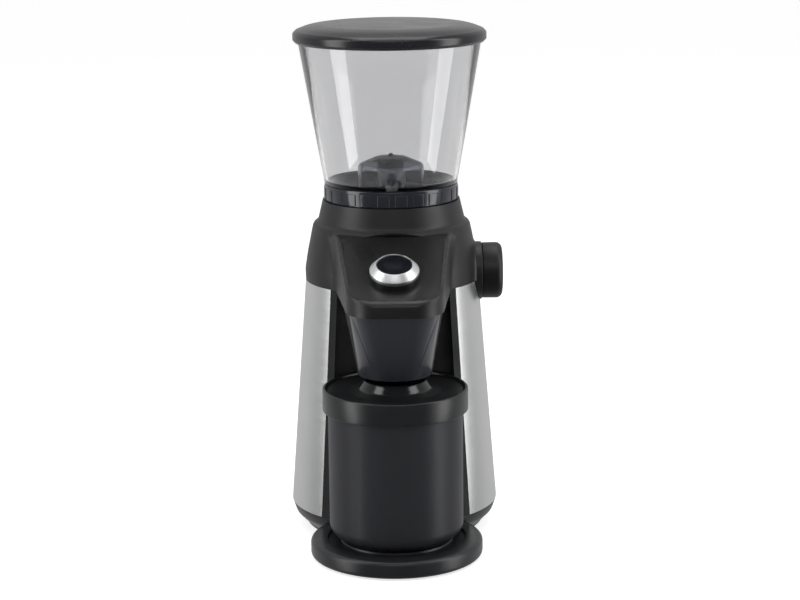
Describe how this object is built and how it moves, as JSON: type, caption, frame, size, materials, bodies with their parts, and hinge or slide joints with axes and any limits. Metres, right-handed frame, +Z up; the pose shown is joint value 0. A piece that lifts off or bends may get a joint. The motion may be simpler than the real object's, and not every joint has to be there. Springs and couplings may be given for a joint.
{
  "type": "coffee grinder",
  "caption": "Electric conical burr coffee grinder with a clear bean hopper, steel wrapped body, overhanging control nose and a lift-out grounds bin under its chute.",
  "frame": {"origin": "on the table directly below the burr axis, at the bottom of the middle rubber foot", "axes": "+Z up along the burr axis; the control nose and the grounds bin face -Y; the timer knob is on the +X side"},
  "size_m": [0.1665, 0.2387, 0.3929],
  "materials": {
    "black_satin_plastic": "satin moulded ABS",
    "black_matt_plastic": "matt moulded ABS",
    "graphite_plastic": "fine textured ABS",
    "brushed_stainless": "vertically brushed stainless sheet",
    "rubber": "matt moulded rubber",
    "zinc_steel": "zinc plated steel",
    "black_gloss_plastic": "polished moulded ABS",
    "switch_plastic": "moulded polyamide",
    "spring_steel": "drawn spring wire",
    "satin_chrome": "satin plated ring",
    "button_lens": "polished dark lens",
    "circuit_board": "solder resist",
    "motor_steel": "drawn steel",
    "ferrite": "sintered ferrite",
    "copper_winding": "enamelled copper wire on a steel core",
    "gear_brass": "machined brass",
    "gearbox_plastic": "glass filled polyamide",
    "gear_acetal": "moulded acetal",
    "bush_bronze": "sintered bronze",
    "bearing_steel": "ground bearing steel",
    "chamber_plastic": "moulded polyamide",
    "burr_steel": "hardened cut steel",
    "smoked_ring_plastic": "polished dark smoked ring",
    "clear_hopper_plastic": "clear moulded plastic",
    "guard_plastic": "smoked clear plastic",
    "lid_plastic": "satin moulded plastic",
    "smoked_plastic": "dark smoked clear plastic",
    "bin_lid_plastic": "semi gloss moulded plastic"
  },
  "bodies": {
    "housing": {"base_tray": "black_satin_plastic", "bottom_cover": "black_matt_plastic", "rubber_feet": "rubber", "cover_screws": "zinc_steel", "inner_tower": "graphite_plastic", "steel_shell": "brushed_stainless", "cord_gland": "rubber", "upper_housing": "black_satin_plastic", "housing_screws": "zinc_steel", "control_panel": "black_gloss_plastic", "button_bezel": "black_satin_plastic", "micro_switch": "switch_plastic", "button_spring": "spring_steel", "rotary_switch": "switch_plastic", "control_board": "circuit_board", "board_parts": "switch_plastic", "motor_can": "motor_steel", "motor_end_cap": "black_matt_plastic", "motor_magnets": "ferrite", "motor_damper": "rubber", "motor_screws": "zinc_steel", "gear_case": "gearbox_plastic", "gear_case_cover": "gearbox_plastic", "case_screws": "zinc_steel", "idler_pin": "zinc_steel", "shaft_bush": "bush_bronze", "shaft_bearing": "bearing_steel", "grinding_chamber": "chamber_plastic", "chamber_screws": "zinc_steel", "exit_duct": "black_matt_plastic", "hopper_switch": "switch_plastic", "outlet_chute": "smoked_plastic"},
    "start_button": {"button_ring": "satin_chrome", "button_cap": "button_lens", "button_stem": "black_matt_plastic"},
    "timer_dial": {"knob_spindle": "zinc_steel", "timer_knob": "black_satin_plastic", "knob_cap": "black_gloss_plastic"},
    "motor_rotor": {"armature": "copper_winding", "motor_shaft": "zinc_steel", "motor_pinion": "gear_brass"},
    "idler": {"idler_gear": "gear_acetal"},
    "burr_drive": {"output_gear": "motor_steel", "burr_shaft": "zinc_steel", "impeller": "gear_acetal", "cone_burr": "burr_steel", "burr_nut": "zinc_steel"},
    "ring_burr_carrier": {"ring_burr": "burr_steel", "burr_carrier": "graphite_plastic", "burr_screws": "zinc_steel"},
    "grind_ring": {"adjust_ring": "smoked_ring_plastic"},
    "bean_hopper": {"hopper": "clear_hopper_plastic", "hopper_guard": "guard_plastic"},
    "lid": {"hopper_lid": "lid_plastic", "lid_seal": "rubber"},
    "bin": {"grounds_bin": "smoked_plastic"},
    "bin_cover": {"bin_lid": "bin_lid_plastic"}
  },
  "joints": [
    {"name": "start_press", "type": "slide", "parent": "housing", "child": "start_button", "axis": [0, 0.3795, -0.9252], "range_m": [0, 0.002], "stiffness_N_per_m": 700, "springref_m": -0.0012, "deforming": ["button_spring"]},
    {"name": "timer_turn", "type": "hinge", "parent": "housing", "child": "timer_dial", "pos_m": [0.07, 0, 0.2], "axis": [1, 0, 0], "range_deg": [-135, 135]},
    {"name": "motor_spin", "type": "hinge", "parent": "housing", "child": "motor_rotor", "pos_m": [0, 0, 0.12], "axis": [0, 0, 1], "continuous": true},
    {"name": "idler_spin", "type": "hinge", "parent": "housing", "child": "idler", "pos_m": [0, 0.028, 0.17], "axis": [0, 0, 1], "continuous": true},
    {"name": "burr_spin", "type": "hinge", "parent": "housing", "child": "burr_drive", "pos_m": [0, 0, 0.2], "axis": [0, 0, 1], "continuous": true},
    {"name": "grind_adjust", "type": "hinge", "parent": "housing", "child": "grind_ring", "pos_m": [0, 0, 0.26], "axis": [0, 0, 1], "range_deg": [-60, 60]},
    {"name": "burr_lift", "type": "slide", "parent": "housing", "child": "ring_burr_carrier", "axis": [0, 0, 1], "range_m": [-0.0004, 0.0004]},
    {"name": "hopper_lift", "type": "slide", "parent": "grind_ring", "child": "bean_hopper", "axis": [0, 0, 1], "range_m": [0, 0.12]},
    {"name": "lid_lift", "type": "slide", "parent": "bean_hopper", "child": "lid", "axis": [0, 0, 1], "range_m": [0, 0.06]},
    {"name": "bin_slide", "type": "slide", "parent": "housing", "child": "bin", "axis": [0, -1, 0], "range_m": [0, 0.13]},
    {"name": "bin_lid_turn", "type": "hinge", "parent": "bin", "child": "bin_cover", "pos_m": [0, -0.09, 0.12], "axis": [0, 0, 1], "range_deg": [-180, 180]}
  ],
  "couplings": [
    {"joint": "idler_spin", "follows": "motor_spin", "ratio": -0.21739},
    {"joint": "burr_spin", "follows": "motor_spin", "ratio": 0.059289},
    {"joint": "burr_lift", "follows": "grind_adjust", "m_per_rad": 0.00031831}
  ]
}
